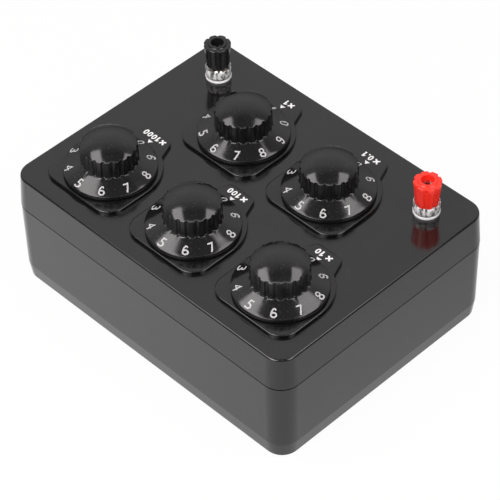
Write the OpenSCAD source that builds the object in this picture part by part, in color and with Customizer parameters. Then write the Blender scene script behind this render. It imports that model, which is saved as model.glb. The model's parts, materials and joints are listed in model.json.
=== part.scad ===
// Decade resistance box: a moulded two-part case with five rotary decade switches
// and a pair of binding posts on its panel. Lengths are in millimetres.
// The box stands on z = 0, +X is the user's right, and the user sits at -Y.

/* [Panel layout] */
// Gap between neighbouring index plates of one row
plate_gap = 6.7; // [4:0.1:12]
// Margin from the outer index plates to the side edges of the panel
side_margin = 7.4; // [5:0.1:15]
// Margin from the back row of index plates to the back edge of the panel
back_margin = 8.1; // [5:0.1:15]
// Gap between the label tabs of the back row and the plates of the front row
row_gap = 3.9; // [2:0.1:10]
// Margin from the label tabs of the front row to the front edge of the panel
front_margin = 8.5; // [5:0.1:15]
// Distance of the binding posts from the side edges of the panel
post_side_inset = 17.2; // [15:0.1:22]
// Distance of the binding posts from the front edge of the panel
post_front_inset = 16.6; // [15:0.1:22]

/* [Case] */
// Height of the panel above the table
case_h = 54; // [50:0.5:70]
// Depth of the lid, from the panel to the parting line
lid_h = 15; // [10:0.5:20]
// Thickness of the panel
panel_t = 2.5; // [2:0.1:4]
// Thickness of the side walls
wall = 3; // [2.4:0.1:4]
// Thickness of the floor
floor_t = 2.5; // [2:0.1:4]
// Corner radius of the panel seen from above
corner_r = 8; // [6:0.5:12]
// Radius of the edge round the panel
panel_edge_r = 0.9; // [0.3:0.1:2]
// Outward flare of the lid on each side, from the panel to the parting line
lid_flare = 0.9; // [0.2:0.05:1.5]
// Overhang of the lid over the base at the parting line
lid_overhang = 0.1; // [0.05:0.05:1]
// Inward taper of the base on each side, above the foot band
base_taper = 0.3; // [0.1:0.05:1.5]
// Height of the foot band round the bottom of the base
foot_h = 7; // [3:0.5:12]
// Inward taper of the foot band on each side
foot_taper = 0.85; // [0.3:0.05:1.5]
// Chamfer on the bottom edge of the base
base_chamfer = 0.4; // [0.2:0.05:1]
// Height of the shadow gap between the lid and the base
reveal_h = 0.6; // [0.3:0.1:1]
// Depth of the shadow gap
reveal_d = 0.8; // [0.4:0.1:1]
// Height of the tongue of the base inside the lid
tongue_h = 1.6; // [1:0.1:3]
// Thickness of the tongue
tongue_t = 1.4; // [1:0.1:1.8]
// Clearance round the tongue
tongue_clearance = 0.1; // [0.05:0.05:0.3]

/* [Case screws] */
// Distance of the screws from the edges of the panel
screw_inset = 7.2; // [6.5:0.1:8]
// Radius of the screw bosses
boss_r = 5; // [4.6:0.1:5.5]
// Radius of the screw shanks
screw_r = 1.5; // [1.2:0.1:2]
// Length of the screws under the head
screw_l = 28; // [24:0.5:30]
// Radius of the screw heads
screw_head_r = 2.9; // [2.4:0.1:3.2]
// Height of the screw heads
screw_head_h = 2; // [1.5:0.1:3]
// Depth of the counterbores from the bottom to the screw heads' seats
screw_seat_z = 20; // [15:0.5:25]
// Radial clearance round the shanks in the base
screw_clearance = 0.2; // [0.1:0.05:0.5]
// Radial clearance round the screw heads in the counterbores
head_clearance = 0.5; // [0.3:0.1:0.8]
// Radial clearance of the thread in the lid
thread_clearance = 0.03; // [0.01:0.01:0.1]
// Depth of the cross recess in the screw heads
recess_depth = 1.2; // [0.8:0.1:1.5]
// Width of the cross recess
recess_w = 0.8; // [0.5:0.1:1.2]

/* [Index plates] */
// Radius of the round half, and half the width of the square half
plate_r = 20.3; // [20:0.1:25]
// Distance from the dial's centre to the straight back edge
plate_back = 19.8; // [19.5:0.1:25]
// Thickness of the index plates
plate_t = 1.5; // [1:0.1:2.5]
// Radius of the two square corners
plate_corner_r = 6; // [3:0.5:9]
// Distance from the dial's centre to the end of the label tab
tab_reach = 27.2; // [25:0.1:32]
// Width of the label tab where it leaves the round half
tab_root_w = 19.9; // [16:0.1:24]
// Width of the label tab at its end
tab_end_w = 13.3; // [10:0.1:18]
// Radius of the tab's end corners
tab_round = 2.4; // [0.5:0.1:3]
// Radius of the fillets where the tab leaves the round half
tab_fillet = 0.8; // [0.2:0.1:2]

/* [Dial knobs] */
// Radius of the skirt
skirt_r = 18.4; // [17:0.1:19.5]
// Thickness of the skirt at its rim
rim_t = 1.1; // [0.8:0.1:1.5]
// Rise of the skirt's cone from the rim to the grip
cone_rise = 3.2; // [1:0.1:4]
// Gap between the skirt and the index plate
skirt_gap = 0.5; // [0.3:0.1:1]
// Radius of the fluted grip
grip_r = 11.6; // [11:0.1:13]
// Height of the grip's edge above the skirt's underside
grip_h = 12.8; // [12:0.1:16]
// Rise of the dome above the grip's edge
dome_rise = 3.4; // [2:0.1:5]
// Number of flutes round the grip
flutes = 20; // [16:1:30]
// Radius of the flute cutter
flute_r = 1.1; // [0.8:0.1:1.6]
// Depth of the flutes
flute_depth = 0.65; // [0.3:0.05:0.8]
// Radius of the hollow under the grip
hollow_r = 9.2; // [8.8:0.1:9.6]
// Height of the hollow above the skirt's underside
hollow_h = 9.4; // [7:0.1:10]
// Radius of the hub round the shaft
hub_r = 5; // [4.5:0.1:6]
// Gap between the hub and the switch neck
hub_gap = 0.4; // [0.3:0.1:1]
// Clearance between the shaft's flat end and the hub
hub_clearance = 0.03; // [0.01:0.01:0.1]
// Depth of the flat on the shaft
shaft_flat = 0.6; // [0.3:0.1:1]

/* [Decade switches] */
// Radius of the shafts
shaft_r = 3; // [2.5:0.1:3.5]
// Running clearance of the shafts
shaft_clearance = 0.05; // [0.02:0.01:0.1]
// Radius of the threaded neck
neck_r = 5; // [4.5:0.1:5.5]
// Radial clearance round the neck in the panel and the plates
neck_clearance = 0.15; // [0.05:0.05:0.3]
// Length of the neck above its nut
neck_over = 0.5; // [0.2:0.1:1]
// Thickness of the neck washers
washer_t = 0.8; // [0.5:0.1:1.2]
// Radius of the neck washers
washer_r = 7.4; // [6.5:0.1:8.2]
// Thickness of the neck nuts
nut_t = 2; // [1.5:0.1:2.5]
// Width across flats of the neck nuts
nut_af = 13; // [12:0.5:14]
// Thickness of the switch body's roof
roof_t = 2; // [1.5:0.1:3]
// Thickness of the switch body's wall
switch_wall = 1.5; // [1:0.1:2]
// Clear height inside the switch body
switch_room = 8; // [7:0.1:10]
// Thickness of the contact board
board_t = 2; // [1.5:0.1:3]
// Length of the shaft below the contact board
shaft_tail = 1.5; // [0.5:0.1:3]
// Contacts round the board
contacts = 10; // [10:1:12]
// Radius of the ring of contacts
contact_ring_r = 14; // [13:0.1:15]
// Radius of the contact heads
contact_head_r = 1.8; // [1.4:0.1:2.2]
// Height of the contact heads and of the collector ring
contact_head_h = 0.8; // [0.5:0.1:1.2]
// Radius of the contact shanks in the board
contact_shank_r = 1; // [0.7:0.1:1.3]
// Radius of the solder tails
contact_tail_r = 0.7; // [0.5:0.1:0.9]
// Length of the solder tails
contact_tail = 3; // [2:0.1:5]
// Inset of the switch body's side from the round half of its index plate
switch_inset = 0.3; // [0.2:0.1:1]
// Outer radius of the collector ring
collector_r = 6.4; // [6:0.1:7]
// Inner radius of the collector ring
collector_inner_r = 4.2; // [4:0.1:5]

/* [Wipers] */
// Radius of the wiper's hub
wiper_hub_r = 5.6; // [5.2:0.1:6]
// Height of the wiper's hub
wiper_hub_h = 4; // [3:0.1:5]
// Width of the wiper's arm
wiper_arm_w = 4.4; // [3:0.1:5]
// Thickness of the wiper's arm
wiper_arm_t = 0.8; // [0.5:0.1:1.2]
// Radius of the brush at the arm's end
brush_r = 1.4; // [1:0.1:1.8]
// Gap under the brush and under the hub
brush_gap = 0.3; // [0.2:0.05:0.4]

/* [Resistance coils] */
// Radius of the bobbin flanges
coil_flange_r = 3; // [2.4:0.1:3.2]
// Thickness of the bobbin flanges
coil_flange_t = 1; // [0.6:0.1:1.5]
// Radius of the winding
coil_r = 2.5; // [2:0.1:2.8]
// Length of the bobbins
coil_l = 12; // [8:0.5:14]

/* [Binding posts] */
// Radius of the cap's lobes at the top
cap_top_r = 5.7; // [5.4:0.1:6.5]
// Radius of the cap at the bottom
cap_bottom_r = 4.65; // [4.6:0.05:5]
// Height of the cap's top above the panel
cap_top_h = 16.7; // [16:0.1:20]
// Number of lobes round the cap
cap_lobes = 8; // [6:1:10]
// Radius of the cutter between the lobes
lobe_cut_r = 0.9; // [0.6:0.1:1.2]
// Depth of the cuts between the lobes
lobe_depth = 0.6; // [0.3:0.05:0.7]
// Radius of the edge over the lobes
cap_edge_r = 0.5; // [0.2:0.1:1]
// Outer radius of the raised ring round the plug hole
cap_ring_r = 3.7; // [3.3:0.1:4.2]
// Height of the raised ring over the lobes
cap_ring_h = 0.6; // [0.3:0.1:1]
// Radius of the plug hole in the cap
cap_hole_r = 2.65; // [2.4:0.05:2.9]
// Radius of the collar's flange on the panel
collar_flange_r = 5.7; // [5.6:0.1:7]
// Height of the collar's flange
collar_flange_h = 1.8; // [1.2:0.1:2.5]
// Height of the collar's seat for the cap above the panel
collar_seat_h = 4.8; // [4.5:0.1:6]
// Height of the collar's lip above its seat
collar_lip_h = 1.5; // [0.8:0.1:2]
// Thickness of the collar's lip
collar_lip_t = 0.35; // [0.3:0.05:0.5]
// Thickness of the collar's floor under the stud's flange
collar_floor_t = 1; // [0.8:0.1:1.5]
// Radius of the collar's spigot in the panel
collar_spigot_r = 4; // [3.6:0.1:4.5]
// Radial clearance of the spigot and of the stud's flange
collar_clearance = 0.1; // [0.05:0.05:0.2]
// Gap between the cap and the collar
cap_gap = 0.25; // [0.2:0.05:0.4]
// Gap between the cap's underside and the collar's seat
cap_seat_gap = 0.1; // [0.05:0.05:0.3]
// How far the black cap is unscrewed at rest
black_cap_up = 1.1; // [0:0.1:4]
// Radius of the stud's thread
stud_r = 2.7; // [2.6:0.05:2.8]
// Height of the stud's top above the panel
stud_top_h = 13; // [12:0.1:13.5]
// Length of the stud below the panel's underside
stud_tail = 12; // [9:0.5:16]
// Radius of the plug socket in the stud
socket_r = 2; // [2:0.05:2.1]
// Height of the socket's bottom above the panel
socket_floor_h = 0.5; // [0.3:0.1:2]
// Radius of the stud's flange in the collar
stud_flange_r = 3.7; // [3.3:0.1:3.9]
// Thickness of the stud's flange
stud_flange_t = 3; // [2:0.1:3.5]
// Radius of the cross hole for bare wire
wire_hole_r = 0.9; // [0.6:0.1:1]
// Height of the cross hole above the stud's flange
wire_hole_h = 2.2; // [1.2:0.1:3]
// Wall of the threaded insert in the cap
insert_wall = 0.75; // [0.6:0.05:0.85]
// Length of the threaded insert
insert_l = 5.9; // [4:0.1:6.5]
// Running clearance of the stud's thread, and of the insert in the cap
post_clearance = 0.05; // [0.02:0.01:0.1]
// Radius of the insulating washers and the post nuts' width across corners
insulator_r = 5.4; // [5:0.1:6]
// Thickness of the insulating washers
insulator_t = 2; // [1:0.1:3]
// Thickness of the solder tags
tag_t = 0.6; // [0.4:0.1:1]
// Length of the solder tags from the post's axis
tag_l = 10; // [8:0.5:12]
// Width of the solder tags' tongues
tag_w = 3; // [2:0.1:4]
// Thickness of the post nuts
post_nut_t = 3; // [2:0.1:4]
// Width across flats of the post nuts
post_nut_af = 8.5; // [8:0.5:9.5]

/* [Wires] */
// Radius of the hook-up wires
wire_r = 0.6; // [0.4:0.1:0.8]
// Drop of the first wire below the coils
wire_drop = 3; // [2:0.5:6]

/* [Hidden] */
$fn = 64;
hull_fn = 48;
// overlap that keeps a cut from ending on a face
cut = 1;

decades = ["thousands", "hundreds", "tens", "units", "tenths"];
// figure that each dial shows at its pointer
shown = [0, 0, 0, 1, 0];
posts = ["red", "black"];
// angle of each cap's first lobe at rest
lobe_start = [10, 22];

step_angle = 360 / contacts;
dial_pitch = 2 * plate_r + plate_gap;
row_pitch = tab_reach + row_gap + plate_back;
case_w = 2 * (dial_pitch + plate_r + side_margin);
case_d = back_margin + plate_back + row_pitch + tab_reach + front_margin;
back_y = case_d / 2 - back_margin - plate_back;
front_y = back_y - row_pitch;
dial_xy = [
  [dial_pitch, back_y],
  [0, back_y],
  [-dial_pitch, back_y],
  [dial_pitch / 2, front_y],
  [-dial_pitch / 2, front_y]
];
post_x = case_w / 2 - post_side_inset;
post_y = post_front_inset - case_d / 2;
post_xy = [[-post_x, post_y], [post_x, post_y]];
// each cap's place, with its rise on the thread
cap_place = [concat(post_xy[0], 0), concat(post_xy[1], black_cap_up)];

// corner radii of the case, all about the same four corner centres
corner_x = case_w / 2 - corner_r;
corner_y = case_d / 2 - corner_r;
lid_r = corner_r + lid_flare;
base_r = lid_r - lid_overhang;
band_r = base_r - base_taper;
foot_r = band_r - foot_taper;
cavity_r = base_r - wall;
tongue_r = cavity_r + tongue_t;
parting_z = case_h - lid_h;
shoulder_r = base_r - reveal_d;
reveal_z = parting_z - reveal_h;
tongue_z = parting_z + tongue_h;
under_z = case_h - panel_t;
screw_x = case_w / 2 - screw_inset;
screw_y = case_d / 2 - screw_inset;

// heights of the switch stack
roof_z = under_z - roof_t;
rim_z = roof_z - switch_room;
board_z = rim_z - board_t;
plate_z = case_h + plate_t;
washer_z = plate_z + washer_t;
nut_z = washer_z + nut_t;
neck_z = nut_z + neck_over;
skirt_z = plate_z + skirt_gap;
edge_z = skirt_z + grip_h;
dome_z = edge_z + dome_rise;
dome_r = (grip_r * grip_r + dome_rise * dome_rise) / (2 * dome_rise);
hub_z = neck_z + hub_gap;
hollow_z = skirt_z + hollow_h;
shaft_top = edge_z;
shaft_bottom = board_z - shaft_tail;
switch_r = plate_r - switch_inset;
wiper_z = rim_z + contact_head_h + brush_gap;
arm_z = wiper_z + (wiper_hub_h - wiper_arm_t) / 2;
coil_bottom = board_z - coil_l;

// sizes of the posts
seat_z = case_h + collar_seat_h;
cap_z = seat_z + cap_seat_gap;
cap_top = case_h + cap_top_h;
cap_h = cap_top - cap_z;
cap_taper = atan((cap_top_r - cap_bottom_r) / cap_h);
lip_r = cap_bottom_r + (collar_lip_h - cap_seat_gap) * tan(cap_taper) + cap_gap;
collar_r = lip_r + collar_lip_t;
stud_top = case_h + stud_top_h;
stud_bottom = under_z - stud_tail;
flange_z = case_h + collar_floor_t;
flange_top = flange_z + stud_flange_t;
insert_bore_r = stud_r + post_clearance;
insert_r = insert_bore_r + insert_wall;
insert_top = cap_z + insert_l;
insulator_z = under_z - insulator_t;
tag_z = insulator_z - tag_t;
post_nut_z = tag_z - post_nut_t;

// Solid whose four corners share one profile of [radius, height] points about the corner centres.
module rounded_block(profile) {
  hull()
    for (sx = [-1, 1], sy = [-1, 1])
      translate([sx * corner_x, sy * corner_y, 0])
        rotate_extrude($fn = hull_fn)
          polygon(profile);
}

module at_screws() {
  for (sx = [-1, 1], sy = [-1, 1])
    translate([sx * screw_x, sy * screw_y, 0])
      children();
}

module at_dials() {
  for (p = dial_xy)
    translate(p)
      children();
}

module at_posts() {
  for (p = post_xy)
    translate(p)
      children();
}

// A dial's moving pieces, turned to the figure that it shows.
module turned(i) {
  translate(dial_xy[i])
    rotate(-step_angle * shown[i])
      children();
}

// Lower shell: tapered walls, a foot band, a tongue for the lid and four screw bosses.
module base() {
  outside = [
    [0, 0],
    [foot_r - base_chamfer, 0],
    [foot_r, base_chamfer],
    [band_r, foot_h],
    [base_r, reveal_z],
    [0, reveal_z]
  ];
  shoulder = [[0, foot_h], [shoulder_r, foot_h], [shoulder_r, parting_z], [0, parting_z]];
  tongue = [[0, foot_h], [tongue_r, foot_h], [tongue_r, tongue_z], [0, tongue_z]];
  cavity = [[0, floor_t], [foot_r - wall, floor_t], [cavity_r, tongue_z + cut], [0, tongue_z + cut]];
  color("#3a3a3a")
    difference() {
      union() {
        difference() {
          union() {
            rounded_block(outside);
            rounded_block(shoulder);
            rounded_block(tongue);
          }
          rounded_block(cavity);
        }
        at_screws()
          translate([0, 0, floor_t / 2])
            cylinder(r = boss_r, h = tongue_z - floor_t / 2);
      }
      at_screws() {
        translate([0, 0, -cut])
          cylinder(r = screw_r + screw_clearance, h = tongue_z + 2 * cut);
        translate([0, 0, -cut])
          cylinder(r = screw_head_r + head_clearance, h = screw_seat_z + cut);
      }
    }
}

// Upper shell: the panel with its rounded edge, the flared sides, and bosses for the screws.
module lid() {
  outside = concat(
    [[0, parting_z], [lid_r, parting_z]],
    [for (a = [0 : 22.5 : 90])
      [corner_r - panel_edge_r * (1 - cos(a)), case_h - panel_edge_r * (1 - sin(a))]],
    [[0, case_h]]
  );
  lap_r = tongue_r + tongue_clearance;
  lap_z = tongue_z + tongue_clearance;
  lap = [[0, parting_z - cut], [lap_r, parting_z - cut], [lap_r, lap_z], [0, lap_z]];
  cavity = [[0, parting_z], [lid_r - wall, parting_z], [corner_r - wall, under_z], [0, under_z]];
  pilot_z = screw_seat_z + screw_l + cut;
  color("#3a3a3a")
    difference() {
      rounded_block(outside);
      rounded_block(lap);
      difference() {
        rounded_block(cavity);
        at_screws()
          cylinder(r = boss_r, h = case_h);
      }
      at_screws()
        translate([0, 0, parting_z])
          cylinder(r = screw_r + thread_clearance, h = pilot_z - parting_z);
      at_dials()
        translate([0, 0, under_z - cut])
          cylinder(r = neck_r + neck_clearance, h = panel_t + 2 * cut);
      at_posts()
        translate([0, 0, under_z - cut])
          cylinder(r = collar_spigot_r + collar_clearance, h = panel_t + 2 * cut);
    }
}

// Four pan-head screws, driven from below.
module case_screws() {
  color("silver")
    at_screws()
      difference() {
        union() {
          translate([0, 0, screw_seat_z - screw_head_h])
            cylinder(r = screw_head_r, h = screw_head_h);
          translate([0, 0, screw_seat_z])
            cylinder(r = screw_r, h = screw_l);
        }
        for (a = [0, 90])
          rotate(a)
            translate([-screw_head_r / 2, -recess_w / 2, screw_seat_z - screw_head_h - cut])
              cube([screw_head_r, recess_w, recess_depth + cut]);
      }
}

// Outline of an index plate: a round half, a square half with rounded corners, and a label tab.
module plate_outline() {
  core_w = 2 * (plate_r - plate_corner_r);
  tab_y = -sqrt(plate_r * plate_r - tab_root_w * tab_root_w / 4);
  intersection() {
    circle(r = plate_r);
    translate([-plate_r, -plate_r])
      square([2 * plate_r, plate_r]);
  }
  offset(r = plate_corner_r)
    translate([-core_w / 2, 0])
      square([core_w, plate_back - plate_corner_r]);
  offset(r = tab_round)
    offset(delta = -tab_round)
      polygon([
        [-tab_root_w / 2, 0],
        [-tab_root_w / 2, tab_y],
        [-tab_end_w / 2, -tab_reach],
        [tab_end_w / 2, -tab_reach],
        [tab_root_w / 2, tab_y],
        [tab_root_w / 2, 0]
      ]);
}

module index_plate(i) {
  color("#1c1c1c")
    translate([dial_xy[i].x, dial_xy[i].y, case_h])
      difference() {
        linear_extrude(plate_t)
          offset(r = -tab_fillet)
            offset(delta = tab_fillet)
              plate_outline();
        translate([0, 0, -cut])
          cylinder(r = neck_r + neck_clearance, h = plate_t + 2 * cut);
      }
}

// Knob: conical skirt and fluted, domed grip in one moulding, hollow round a flatted hub.
module knob(i) {
  skirt = [[0, 0], [skirt_r, 0], [skirt_r, rim_t], [grip_r, rim_t + cone_rise], [0, rim_t + cone_rise]];
  grip_foot = rim_t + cone_rise / 2;
  color("#151515")
    turned(i)
      translate([0, 0, skirt_z])
        difference() {
          union() {
            rotate_extrude()
              polygon(skirt);
            difference() {
              intersection() {
                translate([0, 0, grip_foot])
                  cylinder(r = grip_r, h = grip_h + dome_rise);
                translate([0, 0, grip_h + dome_rise - dome_r])
                  sphere(r = dome_r);
              }
              for (k = [0 : flutes - 1])
                rotate(k * 360 / flutes)
                  translate([grip_r + flute_r - flute_depth, 0, 0])
                    cylinder(r = flute_r, h = grip_h + dome_rise);
            }
          }
          difference() {
            translate([0, 0, -cut])
              cylinder(r = hollow_r, h = hollow_h + cut);
            translate([0, 0, hub_z - skirt_z])
              cylinder(r = hub_r, h = grip_h);
          }
          translate([0, 0, hub_z - skirt_z - cut])
            flatted_rod(shaft_r + hub_clearance, shaft_top - hub_z + hub_clearance + cut, hub_clearance);
        }
}

// Round rod with one flat along its length; room moves the flat outward.
module flatted_rod(r, h, room) {
  difference() {
    cylinder(r = r, h = h);
    translate([shaft_r - shaft_flat + room, -r, -cut])
      cube([2 * r, 2 * r, h + 2 * cut]);
  }
}

module shaft(i) {
  color("silver")
    turned(i)
      union() {
        translate([0, 0, shaft_bottom])
          cylinder(r = shaft_r, h = hub_z - shaft_bottom);
        translate([0, 0, hub_z])
          flatted_rod(shaft_r, shaft_top - hub_z, 0);
      }
}

// Wiper: a hub on the shaft, an arm and the brush over the ring of contacts.
module wiper(i) {
  color("goldenrod")
    turned(i)
      difference() {
        union() {
          translate([0, 0, wiper_z])
            cylinder(r = wiper_hub_r, h = wiper_hub_h);
          translate([-wiper_arm_w / 2, -contact_ring_r, arm_z])
            cube([wiper_arm_w, contact_ring_r, wiper_arm_t]);
          translate([0, -contact_ring_r, arm_z])
            cylinder(r = wiper_arm_w / 2, h = wiper_arm_t);
          translate([0, -contact_ring_r, wiper_z])
            cylinder(r = brush_r, h = arm_z + wiper_arm_t - wiper_z);
        }
        translate([0, 0, wiper_z - cut])
          cylinder(r = shaft_r + hub_clearance, h = wiper_hub_h + 2 * cut);
      }
}

// Switch body: a moulded cup under the panel with the threaded neck that goes up through it.
module switch_body(i) {
  color("#2a1c14")
    translate(dial_xy[i])
      difference() {
        union() {
          translate([0, 0, rim_z])
            cylinder(r = switch_r, h = under_z - rim_z);
          translate([0, 0, roof_z])
            cylinder(r = neck_r, h = neck_z - roof_z);
        }
        translate([0, 0, rim_z - cut])
          cylinder(r = switch_r - switch_wall, h = switch_room + cut);
        translate([0, 0, rim_z])
          cylinder(r = shaft_r + shaft_clearance, h = neck_z - rim_z + cut);
      }
}

module contact_board(i) {
  color("#6b4423")
    translate(dial_xy[i])
      difference() {
        translate([0, 0, board_z])
          cylinder(r = switch_r, h = board_t);
        translate([0, 0, board_z - cut])
          cylinder(r = shaft_r + shaft_clearance, h = board_t + 2 * cut);
        at_contacts()
          translate([0, 0, board_z - cut])
            cylinder(r = contact_shank_r, h = board_t + 2 * cut);
      }
}

module at_contacts() {
  for (k = [0 : contacts - 1])
    rotate(k * step_angle)
      translate([0, -contact_ring_r, 0])
        children();
}

// Contact studs with a head over the board, a shank in it and a solder tail under it.
module contact_studs(i) {
  stud = [
    [0, board_z - contact_tail],
    [contact_tail_r, board_z - contact_tail],
    [contact_tail_r, board_z],
    [contact_shank_r, board_z],
    [contact_shank_r, rim_z],
    [contact_head_r, rim_z],
    [contact_head_r, rim_z + contact_head_h],
    [0, rim_z + contact_head_h]
  ];
  color("gold")
    translate(dial_xy[i])
      at_contacts()
        rotate_extrude()
          polygon(stud);
}

// Resistance coils: one bobbin under the board between each two contacts that follow each other.
module coils(i) {
  bobbin = [
    [0, coil_bottom],
    [coil_flange_r, coil_bottom],
    [coil_flange_r, coil_bottom + coil_flange_t],
    [coil_r, coil_bottom + coil_flange_t],
    [coil_r, board_z - coil_flange_t],
    [coil_flange_r, board_z - coil_flange_t],
    [coil_flange_r, board_z],
    [0, board_z]
  ];
  color("darkred")
    translate(dial_xy[i])
      for (k = [0 : contacts - 2])
        rotate((k + 0.5) * step_angle)
          translate([0, -contact_ring_r, 0])
            rotate_extrude()
              polygon(bobbin);
}

module ring(outer_r, inner_r, z, h) {
  difference() {
    translate([0, 0, z])
      cylinder(r = outer_r, h = h);
    translate([0, 0, z - cut])
      cylinder(r = inner_r, h = h + 2 * cut);
  }
}

module hex_nut(af, bore_r, z, h) {
  difference() {
    translate([0, 0, z])
      cylinder(d = af / cos(30), h = h, $fn = 6);
    translate([0, 0, z - cut])
      cylinder(r = bore_r, h = h + 2 * cut);
  }
}

module collector_rings() {
  color("gold")
    at_dials()
      ring(collector_r, collector_inner_r, rim_z, contact_head_h);
}

module neck_washers() {
  color("silver")
    at_dials()
      ring(washer_r, neck_r + neck_clearance, plate_z, washer_t);
}

module neck_nuts() {
  color("silver")
    at_dials()
      hex_nut(nut_af, neck_r + thread_clearance, washer_z, nut_t);
}

// Screw cap: a tapered, lobed moulding with a plug hole, hollow for its threaded insert.
module cap(i) {
  lobe_z = cap_top - cap_ring_h;
  outside = concat(
    [[0, cap_z], [cap_bottom_r, cap_z]],
    [for (a = [0 : 30 : 90])
      [cap_top_r - cap_edge_r * (1 - cos(a)), lobe_z - cap_edge_r * (1 - sin(a))]],
    [[cap_ring_r + cap_ring_h / 2, lobe_z], [cap_ring_r, cap_top], [0, cap_top]]
  );
  color(posts[i])
    translate(cap_place[i])
      difference() {
        rotate_extrude()
          polygon(outside);
        for (k = [0 : cap_lobes - 1])
          rotate(lobe_start[i] + (k + 0.5) * 360 / cap_lobes)
            translate([cap_bottom_r + lobe_cut_r - lobe_depth, 0, cap_z])
              rotate([0, cap_taper, 0])
                translate([0, 0, -cut])
                  cylinder(r = lobe_cut_r, h = cap_h + 3 * cut);
        translate([0, 0, cap_z - cut])
          cylinder(r = insert_r + post_clearance, h = insert_l + post_clearance + cut);
        translate([0, 0, cap_z])
          cylinder(r = stud_r + cap_gap, h = stud_top + cap_gap - cap_z);
        translate([0, 0, cap_z])
          cylinder(r = cap_hole_r, h = cap_h + cut);
      }
}

module insert(i) {
  color("gold")
    translate(cap_place[i])
      ring(insert_r, insert_bore_r, cap_z, insert_l);
}

// Clear collar: a flange on the panel, a cup round the stud's flange, and a lip round the cap.
module collar(i) {
  color("lightcyan", 0.4)
    translate(post_xy[i])
      difference() {
        union() {
          translate([0, 0, under_z])
            cylinder(r = collar_spigot_r, h = panel_t + collar_floor_t);
          translate([0, 0, case_h])
            cylinder(r = collar_flange_r, h = collar_flange_h);
          translate([0, 0, case_h])
            cylinder(r = collar_r, h = collar_seat_h + collar_lip_h);
        }
        translate([0, 0, seat_z])
          cylinder(r = lip_r, h = collar_lip_h + cut);
        translate([0, 0, flange_z])
          cylinder(r = stud_flange_r + collar_clearance, h = collar_seat_h);
        translate([0, 0, under_z - cut])
          cylinder(r = stud_r + post_clearance, h = case_h);
      }
}

// Stud: a threaded rod with a flange in the collar, a plug socket and a cross hole for wire.
module stud(i) {
  color("silver")
    translate(post_xy[i])
      difference() {
        union() {
          translate([0, 0, stud_bottom])
            cylinder(r = stud_r, h = stud_top - stud_bottom);
          translate([0, 0, flange_z])
            cylinder(r = stud_flange_r, h = stud_flange_t);
        }
        translate([0, 0, case_h + socket_floor_h])
          cylinder(r = socket_r, h = stud_top_h);
        translate([0, 0, flange_top + wire_hole_h])
          rotate([90, 0, 0])
            cylinder(r = wire_hole_r, h = 4 * stud_r, center = true);
      }
}

module post_insulators() {
  color("#202020")
    at_posts()
      ring(insulator_r, stud_r + post_clearance, insulator_z, insulator_t);
}

// Solder tags: a ring round each stud with a tongue toward the middle of the box.
module solder_tags() {
  color("gold")
    for (p = post_xy)
      translate(p)
        mirror([p.x > 0 ? 1 : 0, 0, 0])
          difference() {
            translate([0, 0, tag_z])
              union() {
                cylinder(r = insulator_r, h = tag_t);
                translate([0, -tag_w / 2, 0])
                  cube([tag_l, tag_w, tag_t]);
              }
            translate([0, 0, tag_z - cut])
              cylinder(r = stud_r + post_clearance, h = tag_t + 2 * cut);
          }
}

module post_nuts() {
  color("silver")
    at_posts()
      hex_nut(post_nut_af, stud_r + thread_clearance, post_nut_z, post_nut_t);
}

// Hook-up wires: from tag to dial to dial to tag, each run at its own depth under the coils.
module hookup_wires() {
  chain = [4, 2, 1, 0, 3];
  tail_z = board_z - contact_tail - wire_r;
  tag_x = post_x - tag_l + tag_w / 2;
  first = [-tag_x, post_y, tag_z - wire_r];
  last = [tag_x, post_y, tag_z - wire_r];
  starts = concat([first], [for (c = chain) contact_point(c, contacts - 1, tail_z)]);
  ends = concat([for (c = chain) contact_point(c, 0, tail_z)], [last]);
  color("steelblue")
    for (k = [0 : len(chain)])
      wire(starts[k], ends[k], coil_bottom - wire_drop - 2 * wire_r * k);
}

function contact_point(i, k, z) = [
  dial_xy[i].x + contact_ring_r * sin(k * step_angle),
  dial_xy[i].y - contact_ring_r * cos(k * step_angle),
  z
];

// One wire that drops from a, runs at run_z and rises to b.
module wire(a, b, run_z) {
  route = [a, [a.x, a.y, run_z], [b.x, b.y, run_z], b];
  for (k = [0 : len(route) - 2])
    hull()
      for (p = [route[k], route[k + 1]])
        translate(p)
          sphere(r = wire_r, $fn = 8);
}

base();
lid();
case_screws();
for (i = [0 : len(decades) - 1]) {
  index_plate(i);
  knob(i);
  shaft(i);
  wiper(i);
  switch_body(i);
  contact_board(i);
  contact_studs(i);
  coils(i);
}
collector_rings();
neck_washers();
neck_nuts();
for (i = [0 : len(posts) - 1]) {
  cap(i);
  insert(i);
  collar(i);
  stud(i);
}
post_insulators();
solder_tags();
post_nuts();
hookup_wires();
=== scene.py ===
"""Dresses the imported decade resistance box: fine meshes, printed figures, materials, light and camera."""
import json
import math
import bmesh
import bpy
from mathutils import Matrix, Vector

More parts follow.
